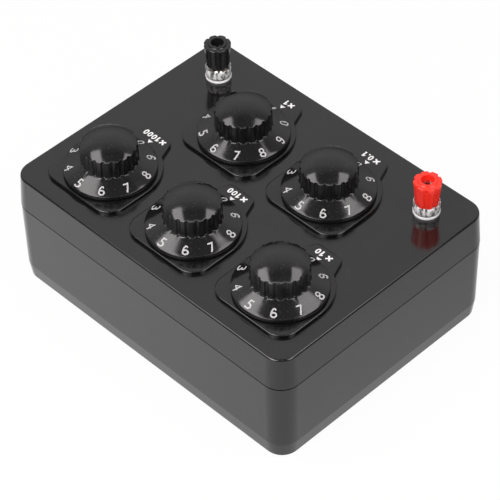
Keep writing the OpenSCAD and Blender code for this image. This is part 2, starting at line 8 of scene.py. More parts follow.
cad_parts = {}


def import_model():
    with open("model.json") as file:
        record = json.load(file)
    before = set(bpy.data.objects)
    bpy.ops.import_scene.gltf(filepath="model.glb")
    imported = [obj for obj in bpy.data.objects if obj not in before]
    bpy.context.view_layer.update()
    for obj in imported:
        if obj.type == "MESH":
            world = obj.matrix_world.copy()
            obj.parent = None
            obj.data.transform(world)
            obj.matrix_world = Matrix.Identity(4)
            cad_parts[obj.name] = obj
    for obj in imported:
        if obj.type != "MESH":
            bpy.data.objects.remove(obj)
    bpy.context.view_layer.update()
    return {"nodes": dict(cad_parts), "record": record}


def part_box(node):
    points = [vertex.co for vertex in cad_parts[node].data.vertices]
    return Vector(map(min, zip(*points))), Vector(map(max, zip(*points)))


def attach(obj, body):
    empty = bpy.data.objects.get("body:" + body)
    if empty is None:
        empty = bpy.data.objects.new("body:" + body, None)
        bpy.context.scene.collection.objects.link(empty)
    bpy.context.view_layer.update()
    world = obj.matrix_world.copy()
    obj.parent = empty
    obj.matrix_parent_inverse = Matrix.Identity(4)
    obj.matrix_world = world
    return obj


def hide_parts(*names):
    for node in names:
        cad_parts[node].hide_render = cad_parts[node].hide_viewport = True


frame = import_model()
MM = 0.001


def box_mm(node):
    """A node's lowest and highest corners, in mm."""
    low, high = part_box(node)
    return low / MM, high / MM


def centre(node):
    """A node's middle in X and Y, in mm."""
    low, high = box_mm(node)
    return (low.x + high.x) / 2, (low.y + high.y) / 2


# Sizes are in mm. Heights count from the table in the posts, from the panel in the plates,
# and from the knob's lower edge in the dials.

# What each dial shows at rest, its multiplier, and where that is printed from the dial's axis:
# the sign's x, the first figure's x and the line's y
DECADES = {
    "thousands": (0, "1000", -3.9, -1.3, -24.7),
    "hundreds": (0, "100", -3.35, -0.45, -24.1),
    "tens": (0, "10", -2.45, 1.05, -23.8),
    "units": (1, "1", -1.8, 0.8, -25.3),
    "tenths": (0, "0.1", -2.15, 0.95, -24.95),
}

# Degrees from one figure of a dial to the next
FIGURE_TURN = 36

# How far the lobes of each post's cap are turned, in degrees
POSTS = {"red": 10, "black": 22}

PANEL_Z = box_mm("lid")[1].z

# Index plate: a round, a back with rounded corners, and a tab toward the user
plate_low, plate_high = box_mm("hundreds_index_plate")
plate_y = centre("hundreds_shaft")[1]
PLATE_R = (plate_high.x - plate_low.x) / 2
PLATE_T = plate_high.z - plate_low.z
PLATE_BACK = plate_high.y - plate_y
PLATE_CORNER = 8.6
PLATE_FORWARD = 1.0
PLATE_ROUND_W = 0.55
PLATE_ROUND_H = 0.4
TAB_REACH = plate_y - plate_low.y
TAB_ROOT = 19.9
TAB_END = 13.3
TAB_ROUND = 2.4
TAB_FILLET = 0.8
NECK_R = 5.15
NECK_POINTS = 48

# Dial knob: a fluted, domed grip on a conical skirt, hollow below round a hub with a flatted bore
shaft_low, shaft_high = box_mm("hundreds_shaft")
SKIRT_R = 18.9
RIM_T = 1.6
RIM_ROUND = 0.3
RIM_LOWER_ROUND = 0.2
CONE_RISE = 3.2
CONE_RINGS = (12.4, 14.0, 16.0, 17.6)
GRIP_R = 11.6
GRIP_H = 12.8
FOOT_FILLET = 0.35
DOME_RISE = 3.4
DOME_EDGE = 0.25
DOME_RINGS = 16
DOME_FLUTED_FROM = 0.7  # share of the dome's radius
EDGE_RINGS = 5
FLUTES = 20
FLUTE_R = 1.1
FLUTE_DEPTH = 0.55
FLUTE_POINTS = 18
LIP_SOFTNESS = 0.16
HOLLOW_R = 9.2
HOLLOW_H = 9.4
HUB_R = 5.0
HUB_UP = 3.2
SHAFT_FLAT = 0.6
SHAFT_PLAY = 0.03
BORE_R = (shaft_high.x - shaft_low.x) / 2 + SHAFT_PLAY
BORE_FLAT = BORE_R - SHAFT_FLAT
BORE_TOP = shaft_high.z - box_mm("hundreds_knob")[0].z + SHAFT_PLAY

# Figures on the skirts
FIGURE_RING_R = 16.4
FIGURE_H = 4.0
FIGURE_W = 2.55
FIGURE_ONE_W = 1.0
FIGURE_STROKE = 0.6
FIGURE_BOLD = 0.007  # in the font's own units
SIX_BOWL = 0.6  # share of the figure's height
SIX_ARM_UP = 0.3
SIX_ARM_START = 48  # degrees

# Multipliers and pointers on the tabs
LABEL_H = 2.9
LABEL_STEP = 2.28
LABEL_BOLD = 0.03  # in the font's own units
LABEL_WIDTHS = {"0": 1.85, "1": 1.35}
SIGN_SIZE = 2.6
SIGN_BAR = 0.72
DOT_SIZE = 0.65
DOT_DROP = 1.1
DOT_BACK = 0.3 * LABEL_STEP
DOT_STEP = 0.4 * LABEL_STEP
POINTER_X = 0.4
POINTER_W = 2.5
POINTER_H = 1.7
POINTER_UP = 2.4
PRINT_TOP = 0.03
PRINT_FOOT = -0.04
PRINT_MERGE = 0.0005
PRINT_PASSES = 6
SQUARE = [(0, 0), (1, 0), (1, 1), (0, 1)]
ONE = [(0.48, 0), (1, 0), (1, 1), (0.62, 1), (0, 0.8), (0, 0.58), (0.48, 0.72)]

# Cap of a binding post, with a raised ring round its plug hole and room below for its insert and the stud
CAP_Z = box_mm("red_cap")[0].z
CAP_TOP = box_mm("red_cap")[1].z
CAP_BOTTOM_R = 4.65
CAP_TOP_R = 5.7
CAP_EDGE = 0.5
CAP_HOLE_R = 2.65
CAP_ROUND = 0.3
RING_R = 3.7
RING_H = 0.6
RING_ROUND = 0.2
LOBES = 8
LOBE_R = 0.9
LOBE_DEPTH = 0.6
LOBE_POINTS = 32
INSERT_ROOM_R = 3.55
INSERT_PLAY = 0.01
INSERT_ROOM_TOP = box_mm("red_insert")[1].z + INSERT_PLAY
STUD_ROOM_R = 2.95
STUD_PLAY = 0.25
STUD_ROOM_TOP = box_mm("red_stud")[1].z + STUD_PLAY

# Clear collar: a neck in the panel, a flange, a groove over it, and a sleeve with a step inside
COLLAR_BOTTOM = box_mm("red_collar")[0].z
COLLAR_NECK_R = 4.0
COLLAR_BORE_R = 2.75
COLLAR_BORE_TOP = PANEL_Z + 1.0
FLANGE_R = 5.45
FLANGE_TOP = PANEL_Z + 1.3
FLANGE_ROUND = 0.2
GROOVE_R = 4.95
GROOVE_Z = PANEL_Z + 1.5
GROOVE_ROUND = 0.25
# Half-heights of the painted shade over the groove in the clear plastic's colour: fully dark, and where it
# has faded out
GROOVE_PAINTED_SHADE_CORE = 0.15
GROOVE_PAINTED_SHADE_EDGE = 0.27
SLEEVE_R = 5.3
SLEEVE_Z = PANEL_Z + 1.9
SLEEVE_TOP = PANEL_Z + 5.55
SLEEVE_ROUND = 0.16
SLEEVE_LIP = 0.14
STEP_R = 3.8
STEP_Z = PANEL_Z + 4.8
STEP_ROUND = 0.2
STEP_EDGE = 0.1
COLLAR_POINTS = 96


# Mesh helpers

def finish_mesh(mesh, sharp=38):
    """Outward normals, smooth faces, and sharp edges where faces meet at more than that many degrees."""
    bm = bmesh.new()
    bm.from_mesh(mesh)
    bmesh.ops.recalc_face_normals(bm, faces=bm.faces)
    limit = math.radians(sharp)
    for f in bm.faces:
        f.smooth = True
    for e in bm.edges:
        e.smooth = len(e.link_faces) == 2 and e.calc_face_angle() < limit
    bm.to_mesh(mesh)
    bm.free()
    return mesh


def ring_mesh(name, rings, first=None, last=None, looped=False):
    """Mesh through rings of equally many points, closed by a pole at either end or into a loop."""
    n = len(rings[0])
    verts = [p for r in rings for p in r]
    faces = []
    spans = len(rings) if looped else len(rings) - 1
    for k in range(spans):
        a, b = k * n, (k + 1) % len(rings) * n
        faces += [(a + j, a + (j + 1) % n, b + (j + 1) % n, b + j) for j in range(n)]
    for pole, start in ((first, 0), (last, (len(rings) - 1) * n)):
        if pole is not None:
            verts.append(pole)
            faces += [(start + j, start + (j + 1) % n, len(verts) - 1) for j in range(n)]
    mesh = bpy.data.meshes.new(name)
    mesh.from_pydata([Vector(p) * MM for p in verts], [], faces)
    return finish_mesh(mesh)


def full_turn(n):
    """That many equal angles round a circle."""
    return [2 * math.pi * j / n for j in range(n)]


def circle(r, z, n):
    return [(r * math.cos(a), r * math.sin(a), z) for a in full_turn(n)]


def arc(cx, cy, r, a0, a1, n):
    """Points of an arc in n steps, angles in degrees."""
    out = []
    for k in range(n + 1):
        a = math.radians(a0 + (a1 - a0) * k / n)
        out.append((cx + r * math.cos(a), cy + r * math.sin(a)))
    return out


def bearing(v):
    """Direction of a flat vector in degrees."""
    return math.degrees(math.atan2(v.y, v.x))


def link(obj):
    bpy.context.scene.collection.objects.link(obj)


def add_piece(name, mesh, material, body, at, turn=0, replaces=()):
    """Links a mesh as a piece at a place in mm, turned about Z, that rides on a body."""
    obj = bpy.data.objects.new(name, mesh)
    link(obj)
    if not mesh.materials:
        mesh.materials.append(MATERIALS[material])
    obj.location = Vector(at) * MM
    obj.rotation_euler = (0, 0, math.radians(turn))
    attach(obj, body)
    if replaces:
        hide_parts(*replaces)


# Node helpers

def own(tree, kind):
    """Texture coordinates of a kind, such as Object or Normal."""
    return tree.nodes.new("ShaderNodeTexCoord").outputs[kind]


def upward(tree, vector):
    """The Z part of a vector."""
    split = tree.nodes.new("ShaderNodeSeparateXYZ")
    tree.links.new(vector, split.inputs[0])
    return split.outputs["Z"]


def along(tree, vector, direction):
    """How far a vector reaches in a direction."""
    node = tree.nodes.new("ShaderNodeVectorMath")
    node.operation = "DOT_PRODUCT"
    node.inputs[1].default_value = direction
    tree.links.new(vector, node.inputs[0])
    return node.outputs["Value"]


def combined(tree, kind, operation, first, second):
    """Result of a two-input node, such as the larger of two values."""
    node = tree.nodes.new(kind)
    node.operation = operation
    tree.links.new(first, node.inputs[0])
    tree.links.new(second, node.inputs[1])
    return node.outputs[0]


def product(tree, first, second):
    return combined(tree, "ShaderNodeMath", "MULTIPLY", first, second)


def spread(tree, value, low, high, start=0.3, end=0.7):
    """Maps a value from start..end, by default the usual range of noise, to low..high."""
    node = tree.nodes.new("ShaderNodeMapRange")
    node.inputs["From Min"].default_value = start
    node.inputs["From Max"].default_value = end
    node.inputs["To Min"].default_value = low
    node.inputs["To Max"].default_value = high
    tree.links.new(value, node.inputs["Value"])
    return node.outputs["Result"]


def noise(tree, scale, detail=4.0, stretch=(1, 1, 1)):
    """Noise in the object's own coordinates; scale is in cycles per metre."""
    mapping = tree.nodes.new("ShaderNodeMapping")
    mapping.inputs["Scale"].default_value = stretch
    tex = tree.nodes.new("ShaderNodeTexNoise")
    tex.inputs["Scale"].default_value = scale
    tex.inputs["Detail"].default_value = detail
    tree.links.new(own(tree, "Object"), mapping.inputs["Vector"])
    tree.links.new(mapping.outputs["Vector"], tex.inputs["Vector"])
    return tex.outputs["Fac"]


def shades(tree, value, stops):
    """Colour ramp over a value; each stop is a position and a colour."""
    ramp = tree.nodes.new("ShaderNodeValToRGB")
    elements = ramp.color_ramp.elements
    for position, color in stops[1:-1]:
        elements.new(position).color = (*color, 1)
    for element, (position, color) in ((elements[0], stops[0]), (elements[-1], stops[-1])):
        element.position = position
        element.color = (*color, 1)
    tree.links.new(value, ramp.inputs["Fac"])
    return ramp.outputs["Color"]


def mixed(tree, share, first, second):
    """Two shaders mixed by a share."""
    node = tree.nodes.new("ShaderNodeMixShader")
    tree.links.new(share, node.inputs[0])
    tree.links.new(first.outputs[0], node.inputs[1])
    tree.links.new(second.outputs[0], node.inputs[2])
    return node


# Materials: noise scales are in cycles per metre, bump heights in metres, ranges as spread() takes them

COLOUR_DRIFT = 90
GLOSS_DRIFT = 160
SMUDGES = 220
SMUDGE_RANGE = (0.85, 1.9)
DUST_SPECKS = 1500
DUST_SPECK_FROM = 0.6
DUST_SPECK_FULL = 0.74
DUST_PLACES = 60
DUST_PLACE_RANGE = (0.2, 1.0, 0.4, 0.6)
METAL_DRIFT = 300
METAL_MARKS = 2600
METAL_BUMP = 0.08
MARK_HEIGHT = 0.00003
GRAIN_HEIGHT = 0.00004
LENGTHWISE = (1, 1, 0.05)
KNOB_DUST = 0.03
KNOB_GRAIN = 700
KNOB_GLOSS_RANGE = (0.24, 0.1, 0.2, 0.6)
CLEAR_IOR = 1.49
CLEAR_FADE = 0.2 * MM
# Streaks in how clear the collars' sleeves are, a painted pattern of reflections
CLEAR_STREAKS = 800
CLEAR_STREAK_STRETCH = (1, 1, 0.4)
CLEAR_STREAK_RANGE = (0.15, 0.95, 0.44, 0.56)
CLEAR_WAVES = 500
CLEAR_WAVE_HEIGHT = 0.00005
WINDING_TURNS = 900
WINDING_HEIGHT = 0.0001


def grey(level):
    return (level,) * 3


def new_material(name, color, roughness, metallic=0.0, ior=1.5):
    mat = bpy.data.materials.new(name)
    mat.use_nodes = True
    shader = mat.node_tree.nodes["Principled BSDF"]
    shader.inputs["Base Color"].default_value = (*color, 1)
    shader.inputs["Roughness"].default_value = roughness
    shader.inputs["Metallic"].default_value = metallic
    shader.inputs["IOR"].default_value = ior
    return mat, mat.node_tree, shader


def tint(tree, shader, value, dark, light):
    """Base colour that drifts between two shades."""
    tree.links.new(shades(tree, value, ((0.3, dark), (0.7, light))), shader.inputs["Base Color"])


def bump(tree, shader, value, strength, distance):
    node = tree.nodes.new("ShaderNodeBump")
    node.inputs["Strength"].default_value = strength
    node.inputs["Distance"].default_value = distance
    tree.links.new(value, node.inputs["Height"])
    tree.links.new(node.outputs["Normal"], shader.inputs["Normal"])


def dust(tree, shader, amount):
    """Adds sparse fine specks of dust, thicker in some places, to the base colour."""
    specks = spread(tree, noise(tree, DUST_SPECKS, 2.0), 0.0, amount, DUST_SPECK_FROM, DUST_SPECK_FULL)
    places = spread(tree, noise(tree, DUST_PLACES, 2.0), *DUST_PLACE_RANGE)
    clean = shader.inputs["Base Color"].links[0].from_socket
    dusty = combined(tree, "ShaderNodeVectorMath", "ADD", clean, product(tree, specks, places))
    tree.links.new(dusty, shader.inputs["Base Color"])


def moulded(name, dark, light, rough, grain, depth, ior=1.5, dusty=0):
    """Moulded plastic: faint drift of colour and gloss over a fine surface grain."""
    mat, tree, shader = new_material(name, light, rough[1], ior=ior)
    tint(tree, shader, noise(tree, COLOUR_DRIFT), dark, light)
    tree.links.new(spread(tree, noise(tree, GLOSS_DRIFT), *rough), shader.inputs["Roughness"])
    bump(tree, shader, noise(tree, grain, 3.0), depth, GRAIN_HEIGHT)
    if dusty:
        dust(tree, shader, dusty)
    return mat


def metal(name, dark, light, rough, stretch=(1, 1, 1)):
    """Metal with fine turning or drawing marks along one direction."""
    mat, tree, shader = new_material(name, light, rough[1], metallic=1.0)
    marks = noise(tree, METAL_MARKS, 3.0, stretch)
    tint(tree, shader, noise(tree, METAL_DRIFT), dark, light)
    tree.links.new(spread(tree, marks, *rough), shader.inputs["Roughness"])
    bump(tree, shader, marks, METAL_BUMP, MARK_HEIGHT)
    return mat


def clear_plastic():
    """Clear plastic of the collars: a milky flange, painted shade in the colour over the groove, and
    painted streaks of reflection above.
    """
    mat, tree, shader = new_material("clear_plastic", (0.98, 0.99, 0.99), 0.05, ior=CLEAR_IOR)
    up = upward(tree, own(tree, "Object"))
    # Base colour by height: milky, with painted shade, nearly black, in a band over the groove
    milky, dark = grey(0.98), grey(0.03)
    heights = (
        (PANEL_Z, milky),
        (GROOVE_Z - GROOVE_PAINTED_SHADE_EDGE, milky),
        (GROOVE_Z - GROOVE_PAINTED_SHADE_CORE, dark),
        (GROOVE_Z + GROOVE_PAINTED_SHADE_CORE, dark),
        (GROOVE_Z + GROOVE_PAINTED_SHADE_EDGE, milky),
        (2 * GROOVE_Z - PANEL_Z, milky),
    )
    low, high = heights[0][0], heights[-1][0]
    stops = [((z - low) / (high - low), color) for z, color in heights]
    share = spread(tree, up, 0.0, 1.0, low * MM, high * MM)
    tree.links.new(shades(tree, share, stops), shader.inputs["Base Color"])
    # Above the sleeve's foot, streaks of clearer and more milky plastic are painted reflections
    above = spread(tree, up, 0.0, 1.0, SLEEVE_Z * MM - CLEAR_FADE, SLEEVE_Z * MM + CLEAR_FADE)
    painted_reflections = spread(tree, noise(tree, CLEAR_STREAKS, 2.0, CLEAR_STREAK_STRETCH), *CLEAR_STREAK_RANGE)
    tree.links.new(product(tree, above, painted_reflections), shader.inputs["Transmission Weight"])
    bump(tree, shader, noise(tree, CLEAR_WAVES, 2.0), 0.05, CLEAR_WAVE_HEIGHT)
    return mat


def knob_plastic():
    """Polished, smudged and dusty knob plastic, rougher on the upright sides of the grip."""
    mat, tree, shader = new_material("knob_plastic", grey(0.0065), 0.1)
    tint(tree, shader, noise(tree, COLOUR_DRIFT), grey(0.0058), grey(0.0072))
    by_slope = spread(tree, upward(tree, own(tree, "Normal")), *KNOB_GLOSS_RANGE)
    smudges = spread(tree, noise(tree, SMUDGES), *SMUDGE_RANGE)
    tree.links.new(product(tree, by_slope, smudges), shader.inputs["Roughness"])
    bump(tree, shader, noise(tree, KNOB_GRAIN, 3.0), 0.09, GRAIN_HEIGHT)
    dust(tree, shader, KNOB_DUST)
    return mat


def winding():
    """Enamelled wire: fine turns round the bobbin as bands in height."""
    mat, tree, shader = new_material("winding", (0.22, 0.03, 0.015), 0.35)
    wave = tree.nodes.new("ShaderNodeTexWave")
    wave.bands_direction = "Z"
    wave.inputs["Scale"].default_value = WINDING_TURNS
    tree.links.new(own(tree, "Object"), wave.inputs["Vector"])
    tint(tree, shader, wave.outputs["Fac"], (0.10, 0.012, 0.008), (0.3, 0.05, 0.02))
    bump(tree, shader, wave.outputs["Fac"], 0.4, WINDING_HEIGHT)
    return mat


PLASTICS = {
    "case_plastic": dict(
        dark=grey(0.0042), light=grey(0.0055), rough=(0.11, 0.15), grain=3200, depth=0.06,
        ior=1.57, dusty=0.02),
    "plate_plastic": dict(
        dark=grey(0.004), light=grey(0.005), rough=(0.1, 0.14), grain=3000, depth=0.03,
        ior=1.54, dusty=0.02),
    "red_plastic": dict(
        dark=(0.88, 0.025, 0.013), light=(0.94, 0.032, 0.017), rough=(0.22, 0.3), grain=1500, depth=0.05),
    "black_plastic": dict(
        dark=grey(0.008), light=grey(0.011), rough=(0.22, 0.3), grain=1500, depth=0.05),
    "switch_moulding": dict(
        dark=(0.04, 0.024, 0.016), light=(0.055, 0.033, 0.022), rough=(0.35, 0.45), grain=2400, depth=0.1),
    "laminate": dict(
        dark=(0.2, 0.09, 0.035), light=(0.28, 0.14, 0.06), rough=(0.4, 0.5), grain=1200, depth=0.1),
    "wire_jacket": dict(
        dark=(0.07, 0.15, 0.32), light=(0.1, 0.2, 0.4), rough=(0.4, 0.5), grain=1500, depth=0.05),
    "printed_white": dict(
        dark=grey(0.8), light=grey(0.88), rough=(0.45, 0.55), grain=2500, depth=0.1),
    "printed_grey": dict(
        dark=grey(0.42), light=grey(0.48), rough=(0.45, 0.55), grain=2500, depth=0.1),
}
METALS = {
    "plated_brass": dict(
        dark=(0.66, 0.65, 0.62), light=(0.78, 0.77, 0.74), rough=(0.14, 0.26), stretch=LENGTHWISE),
    "steel": dict(dark=grey(0.5), light=(0.62, 0.62, 0.61), rough=(0.25, 0.38), stretch=LENGTHWISE),
    "contact_brass": dict(dark=(0.7, 0.5, 0.2), light=(0.8, 0.6, 0.27), rough=(0.2, 0.34)),
    "spring_bronze": dict(dark=(0.6, 0.36, 0.16), light=(0.7, 0.45, 0.2), rough=(0.22, 0.34)),
}
MATERIALS = {name: moulded(name, **look) for name, look in PLASTICS.items()}
MATERIALS.update({name: metal(name, **look) for name, look in METALS.items()})
MATERIALS["knob_plastic"] = knob_plastic()
MATERIALS["clear_plastic"] = clear_plastic()
MATERIALS["winding"] = winding()


# CAD nodes that stay: weld, smooth shading up to an angle, and normals that follow the flat faces

WELD = 0.000002
SMOOTH_LIMIT = 32
CREASE_LIMIT = 3
FLAT_WEIGHT = 100


def smooth_group(name, level_limit):
    """Smooth shading up to SMOOTH_LIMIT degrees, or up to another limit on edges that run level."""
    group = bpy.data.node_groups.new(name, "GeometryNodeTree")
    for way in ("INPUT", "OUTPUT"):
        group.interface.new_socket("Geometry", in_out=way, socket_type="NodeSocketGeometry")
    nodes, links = group.nodes, group.links

    def compare(operation, value, limit):
        node = nodes.new("FunctionNodeCompare")
        node.operation = operation
        node.inputs["B"].default_value = limit
        links.new(value, node.inputs["A"])
        return node

    ends = nodes.new("GeometryNodeInputMeshEdgeVertices").outputs
    apart = combined(group, "ShaderNodeVectorMath", "SUBTRACT", ends["Position 1"], ends["Position 2"])
    level = compare("EQUAL", upward(group, apart), 0)
    level.inputs["Epsilon"].default_value = WELD
    angle = nodes.new("GeometryNodeInputMeshEdgeAngle").outputs["Unsigned Angle"]
    bent = compare("GREATER_THAN", angle, math.radians(level_limit))
    sharp = compare("GREATER_THAN", angle, math.radians(SMOOTH_LIMIT))
    both = (level.outputs["Result"], bent.outputs["Result"])
    crease = combined(group, "FunctionNodeBooleanMath", "AND", *both)
    either = combined(group, "FunctionNodeBooleanMath", "OR", sharp.outputs["Result"], crease)
    merge = nodes.new("GeometryNodeMergeByDistance")
    merge.inputs["Distance"].default_value = WELD
    faces = nodes.new("GeometryNodeSetShadeSmooth")
    faces.domain = "FACE"
    edges = nodes.new("GeometryNodeSetShadeSmooth")
    edges.domain = "EDGE"
    edges.inputs["Shade Smooth"].default_value = False
    links.new(either, edges.inputs["Selection"])
    chain = (nodes.new("NodeGroupInput"), merge, faces, edges, nodes.new("NodeGroupOutput"))
    for before, after in zip(chain, chain[1:]):
        links.new(before.outputs["Geometry"], after.inputs["Geometry"])
    return group


SMOOTH = smooth_group("smooth_by_angle", SMOOTH_LIMIT)
CREASED = smooth_group("smooth_but_level_creases", CREASE_LIMIT)
slots = {s["node"]: s["material_slot"] for s in frame["record"]["subparts"]}
for name, node in frame["nodes"].items():
    node.data.materials.clear()
    node.data.materials.append(MATERIALS[slots[name]])
    node.modifiers.new("smooth", "NODES").node_group = CREASED if name == "base" else SMOOTH
    weighted = node.modifiers.new("weighted", "WEIGHTED_NORMAL")
    weighted.keep_sharp = True
    weighted.weight = FLAT_WEIGHT


# Knobs

def soft_min(a, b, k):
    """The smaller of two values, blended where they differ by less than k."""
    h = max(k - abs(a - b), 0) / k
    return min(a, b) - h * h * k / 4


def fluted(r, angle, count, cut_r, depth):
    """Radius at an angle of a round of radius r with that many grooves cut along it."""
    step = 2 * math.pi / count
    a = (angle + step / 2) % step - step / 2
    middle = r + cut_r - depth
    side = cut_r ** 2 - (middle * math.sin(a)) ** 2
    if side <= 0:
        return r
    return soft_min(r, middle * math.cos(a) - math.sqrt(side), LIP_SOFTNESS)


def knob_mesh():
    """Knob about its own axis, with its lower edge at height 0."""
    n = FLUTES * FLUTE_POINTS
    angles = full_turn(n)
    outline = [fluted(GRIP_R, a, FLUTES, FLUTE_R, FLUTE_DEPTH) for a in angles]
    sphere = (GRIP_R ** 2 + DOME_RISE ** 2) / (2 * DOME_RISE)
    inner = sphere - DOME_EDGE
    low = GRIP_H + DOME_RISE - sphere
    foot = RIM_T + CONE_RISE

    def at(radii, heights):
        return [(r * math.cos(a), r * math.sin(a), z) for r, z, a in zip(radii, heights, angles)]

    def cone(r):
        return foot if r <= GRIP_R else RIM_T + CONE_RISE * (SKIRT_R - r) / (SKIRT_R - GRIP_R)

    # dome, from the middle to where the edge's rounding starts; its outer part takes on the flutes
    rings = []
    tangent = [(o - DOME_EDGE) / inner for o in outline]
    plain = (GRIP_R - DOME_EDGE) / inner
    for k in range(1, DOME_RINGS + 1):
        share = k / DOME_RINGS
        w = max(0, (share - DOME_FLUTED_FROM) / (1 - DOME_FLUTED_FROM)) ** 2
        radii = [share * sphere * (t * w + plain * (1 - w)) for t in tangent]
        rings.append(at(radii, [low + math.sqrt(sphere ** 2 - r * r) for r in radii]))
    # rounded edge
    for k in range(1, EDGE_RINGS + 1):
        radii, heights = [], []
        for o, t in zip(outline, tangent):
            start = math.asin(t)
            a = start + (math.pi / 2 - start) * k / EDGE_RINGS
            radii.append(o - DOME_EDGE + DOME_EDGE * math.sin(a))
            heights.append(low + math.sqrt(inner ** 2 - (o - DOME_EDGE) ** 2) + DOME_EDGE * math.cos(a))
        rings.append(at(radii, heights))
    # side, foot fillet, cone and rounded rim
    for z in (GRIP_H * 0.75, GRIP_H * 0.5, foot + FOOT_FILLET):
        rings.append(at(outline, [z] * n))
    for out, up in arc(FOOT_FILLET, FOOT_FILLET, FOOT_FILLET, 180, 270, 3)[1:]:
        radii = [o + out for o in outline]
        rings.append(at(radii, [cone(r) + up for r in radii]))
    steep = math.pi / 2 - math.atan2(CONE_RISE, SKIRT_R - GRIP_R)
    rim_z = RIM_T - RIM_ROUND * math.tan(steep / 2)
    profile = [(r, cone(r)) for r in CONE_RINGS]
    profile += arc(SKIRT_R - RIM_ROUND, rim_z, RIM_ROUND, math.degrees(steep), 0, 4)
    profile += arc(SKIRT_R - RIM_LOWER_ROUND, RIM_LOWER_ROUND, RIM_LOWER_ROUND, 0, -90, 2)
    # hollow underside, hub and flatted bore
    profile += [(HOLLOW_R, 0), (HOLLOW_R, HOLLOW_H), (HUB_R, HOLLOW_H), (HUB_R, HUB_UP)]
    rings += [circle(r, z, n) for r, z in profile]
    for bore_z in (HUB_UP, BORE_TOP):
        rings.append([(min(x, BORE_FLAT), y, z) for x, y, z in circle(BORE_R, bore_z, n)])
    return ring_mesh("knob", rings, first=(0, 0, GRIP_H + DOME_RISE), last=(0, 0, BORE_TOP))


# Printed figures

def filled(text, bold):
    """Triangles of a line of text in the built-in font, as a bmesh in its own units."""
    curve = bpy.data.curves.new("text", "FONT")
    curve.body = text
    curve.align_x = "CENTER"
    curve.offset = bold
    curve.resolution_u = 5
    obj = bpy.data.objects.new("text", curve)
    link(obj)
    bpy.context.view_layer.update()
    mesh = bpy.data.meshes.new_from_object(obj.evaluated_get(bpy.context.evaluated_depsgraph_get()))
    bm = bmesh.new()
    bm.from_mesh(mesh)
    bpy.data.objects.remove(obj)
    bpy.data.meshes.remove(mesh)
    return bm


def fit(bm, width, height, at=(0, 0)):
    """Scales a flat shape to a size and puts its middle at a point."""
    xs = [v.co.x for v in bm.verts]
    ys = [v.co.y for v in bm.verts]
    x0, y0 = (min(xs) + max(xs)) / 2, (min(ys) + max(ys)) / 2
    sx, sy = width / (max(xs) - min(xs)), height / (max(ys) - min(ys))
    for v in bm.verts:
        v.co = Vector(((v.co.x - x0) * sx + at[0], (v.co.y - y0) * sy + at[1], 0))
    return bm


def polygon(points):
    bm = bmesh.new()
    bm.faces.new([bm.verts.new((x, y, 0)) for x, y in points])
    return bm


def stroke(points, width):
    """Flat band of that width along a path."""
    bm = bmesh.new()
    rows = []
    last = len(points) - 1
    for k, (x, y) in enumerate(points):
        step = Vector(points[min(k + 1, last)]) - Vector(points[max(k - 1, 0)])
        across = Vector((-step.y, step.x)).normalized() * width / 2
        rows.append([bm.verts.new((x + across.x * side, y + across.y * side, 0)) for side in (1, -1)])
    for a, b in zip(rows, rows[1:]):
        bm.faces.new((a[0], a[1], b[1], b[0]))
    return bm


def six(turned):
    """Figure 6 as one stroke, over the top, down the left and round the bowl, or turned over into a 9."""
    rx = (FIGURE_W - FIGURE_STROKE) / 2
    half = (FIGURE_H - FIGURE_STROKE) / 2
    bowl_ry = (FIGURE_H * SIX_BOWL - FIGURE_STROKE) / 2
    bowl_y = bowl_ry - half
    arm_y = bowl_y + SIX_ARM_UP
    arm_ry = half - arm_y
    points = [(rx * x, arm_y + arm_ry * y) for x, y in arc(0, 0, 1, SIX_ARM_START, 180, 14)]
    points += [(rx * x, bowl_y + bowl_ry * y) for x, y in arc(0, 0, 1, 180, 540, 36)]
    sign = -1 if turned else 1
    return stroke([(sign * x, sign * y) for x, y in points], FIGURE_STROKE)


def figure(digit):
    """Flat shape of one figure of a dial; the 4 isn't made bolder, so that its counter stays open."""
    if digit in (6, 9):
        return six(turned=digit == 9)
    bold = 0 if digit == 4 else FIGURE_BOLD
    return fit(filled(str(digit), bold), FIGURE_ONE_W if digit == 1 else FIGURE_W, FIGURE_H)


def refine(bm, finest):
    """Splits the triangles of a flat shape until no edge is longer than that, in a few passes at most."""
    bmesh.ops.remove_doubles(bm, verts=bm.verts, dist=PRINT_MERGE)
    bmesh.ops.triangulate(bm, faces=bm.faces)
    for _ in range(PRINT_PASSES):
        long = [e for e in bm.edges if e.calc_length() > finest]
        if not long:
            break
        bmesh.ops.subdivide_edges(bm, edges=long, cuts=1)
        bmesh.ops.triangulate(bm, faces=bm.faces)
    bm.verts.index_update()


def print_mesh(name, prints, finest):
    """Joins flat shapes into one thin raised print; each comes with a function that places its points."""
    out = bmesh.new()
    for bm, place in prints:
        refine(bm, finest)
        flat = [(v.co.x, v.co.y) for v in bm.verts]
        top = [out.verts.new(Vector(place(x, y, PRINT_TOP)) * MM) for x, y in flat]
        under = [out.verts.new(Vector(place(x, y, PRINT_FOOT)) * MM) for x, y in flat]
        seen = set()
        for f in bm.faces:
            ids = [v.index for v in f.verts]
            if frozenset(ids) in seen:
                continue
            seen.add(frozenset(ids))
            out.faces.new([top[i] for i in ids])
            out.faces.new([under[i] for i in reversed(ids)])
        for e in bm.edges:
            if len(e.link_faces) == 1:
                a, b = e.verts[0].index, e.verts[1].index
                out.faces.new([top[a], top[b], under[b], under[a]])
        bm.free()
    mesh = bpy.data.meshes.new(name)
    out.to_mesh(mesh)
    out.free()
    return finish_mesh(mesh, sharp=30)


